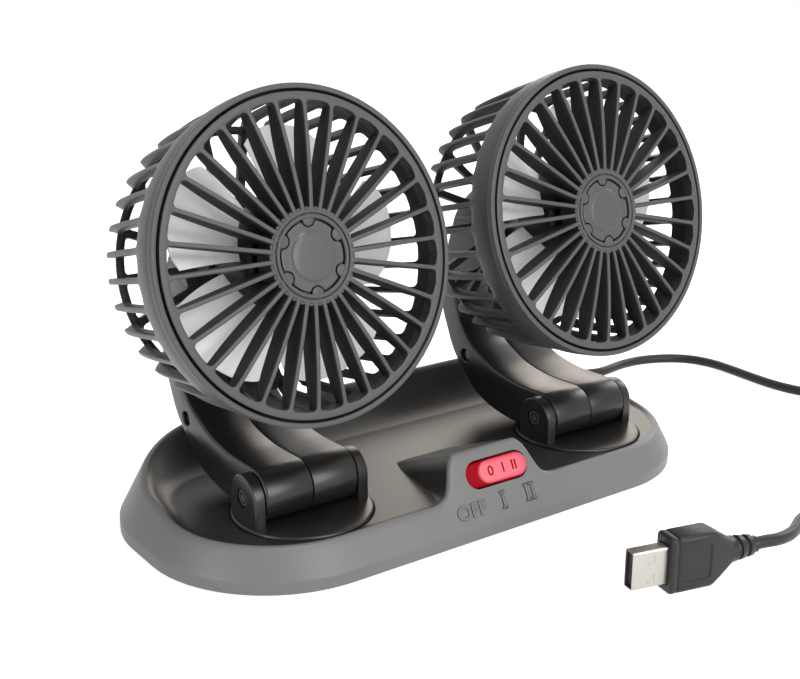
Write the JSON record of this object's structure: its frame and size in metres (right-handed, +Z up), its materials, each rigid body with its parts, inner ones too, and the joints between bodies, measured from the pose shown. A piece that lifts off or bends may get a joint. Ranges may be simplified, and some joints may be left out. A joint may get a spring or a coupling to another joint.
{
  "type": "dual head car fan",
  "caption": "Dual head car fan: caged heads on tilting arms and turntables over a dished base with a rocker switch, a cord and a USB plug.",
  "frame": {"origin": "on the table, under the middle of the base's outline", "axes": "+X along the base to the right seen from the switch, +Y from the switch to the back, +Z up"},
  "size_m": [0.3253, 0.208, 0.1455],
  "materials": {
    "head_grey_plastic": "satin moulded plastic",
    "base_grey_plastic": "satin moulded plastic",
    "arm_dark_plastic": "semi gloss moulded plastic",
    "black_plastic": "matt moulded plastic",
    "foot_rubber": "matt rubber",
    "rocker_red_plastic": "glossy translucent red plastic",
    "impeller_white_plastic": "white plastic",
    "screw_steel": "plated steel",
    "motor_steel": "drawn steel can",
    "usb_nickel": "nickel plated steel sheet",
    "cord_rubber": "satin flexible sleeve",
    "board_green": "coated board"
  },
  "bodies": {
    "base": {"base_cover": "base_grey_plastic", "base_plate": "black_plastic", "foot_left_front": "foot_rubber", "foot_left_back": "foot_rubber", "foot_right_front": "foot_rubber", "foot_right_back": "foot_rubber", "base_screw_left_front": "screw_steel", "base_screw_left_back": "screw_steel", "base_screw_right_front": "screw_steel", "base_screw_right_back": "screw_steel", "switch_body": "black_plastic", "circuit_board": "board_green", "strain_relief": "cord_rubber", "cord_lead": "cord_rubber", "cord_coil": "cord_rubber", "cord_tail": "cord_rubber", "cord_tie": "black_plastic", "usb_grip": "black_plastic", "usb_shell": "usb_nickel", "usb_tongue": "black_plastic"},
    "rocker": {"switch_rocker": "rocker_red_plastic"},
    "turntable_left": {"turntable_left": "arm_dark_plastic", "pivot_washer_left": "arm_dark_plastic", "pivot_screw_left": "screw_steel", "hinge_bolt_left": "screw_steel", "hinge_nut_left": "screw_steel"},
    "head_left": {"arm_nut_half_left": "arm_dark_plastic", "arm_bolt_half_left": "arm_dark_plastic", "arm_screw_left": "screw_steel", "rear_cage_left": "head_grey_plastic", "mount_screw_left_a": "screw_steel", "mount_screw_left_b": "screw_steel", "front_grille_left": "head_grey_plastic", "hub_cap_left": "head_grey_plastic", "motor_left": "motor_steel"},
    "impeller_left": {"impeller_left": "impeller_white_plastic", "motor_shaft_left": "screw_steel"},
    "turntable_right": {"turntable_right": "arm_dark_plastic", "pivot_washer_right": "arm_dark_plastic", "pivot_screw_right": "screw_steel", "hinge_bolt_right": "screw_steel", "hinge_nut_right": "screw_steel"},
    "head_right": {"arm_nut_half_right": "arm_dark_plastic", "arm_bolt_half_right": "arm_dark_plastic", "arm_screw_right": "screw_steel", "rear_cage_right": "head_grey_plastic", "mount_screw_right_a": "screw_steel", "mount_screw_right_b": "screw_steel", "front_grille_right": "head_grey_plastic", "hub_cap_right": "head_grey_plastic", "motor_right": "motor_steel"},
    "impeller_right": {"impeller_right": "impeller_white_plastic", "motor_shaft_right": "screw_steel"}
  },
  "joints": [
    {"name": "switch_rock", "type": "hinge", "parent": "base", "child": "rocker", "pos_m": [0.0018, -0.04067, 0.01765], "axis": [0, 0.4648, 0.8854], "range_deg": [0, 16]},
    {"name": "yaw_left", "type": "hinge", "parent": "base", "child": "turntable_left", "pos_m": [-0.0592, -0.02224, 0.01454], "axis": [0, 0, 1], "range_deg": [-170, 170]},
    {"name": "tilt_left", "type": "hinge", "parent": "turntable_left", "child": "head_left", "pos_m": [-0.0592, -0.02105, 0.02232], "axis": [1, 0, 0], "range_deg": [-3, 50]},
    {"name": "spin_left", "type": "hinge", "parent": "head_left", "child": "impeller_left", "pos_m": [-0.0592, -0.03, 0.09646], "axis": [0, -0.9755, 0.2202], "continuous": true},
    {"name": "yaw_right", "type": "hinge", "parent": "base", "child": "turntable_right", "pos_m": [0.0592, -0.02224, 0.01454], "axis": [0, 0, 1], "range_deg": [-170, 170]},
    {"name": "tilt_right", "type": "hinge", "parent": "turntable_right", "child": "head_right", "pos_m": [0.0592, -0.02105, 0.02232], "axis": [1, 0, 0], "range_deg": [-3, 50]},
    {"name": "spin_right", "type": "hinge", "parent": "head_right", "child": "impeller_right", "pos_m": [0.0592, -0.03, 0.09646], "axis": [0, -0.9755, 0.2202], "continuous": true}
  ]
}
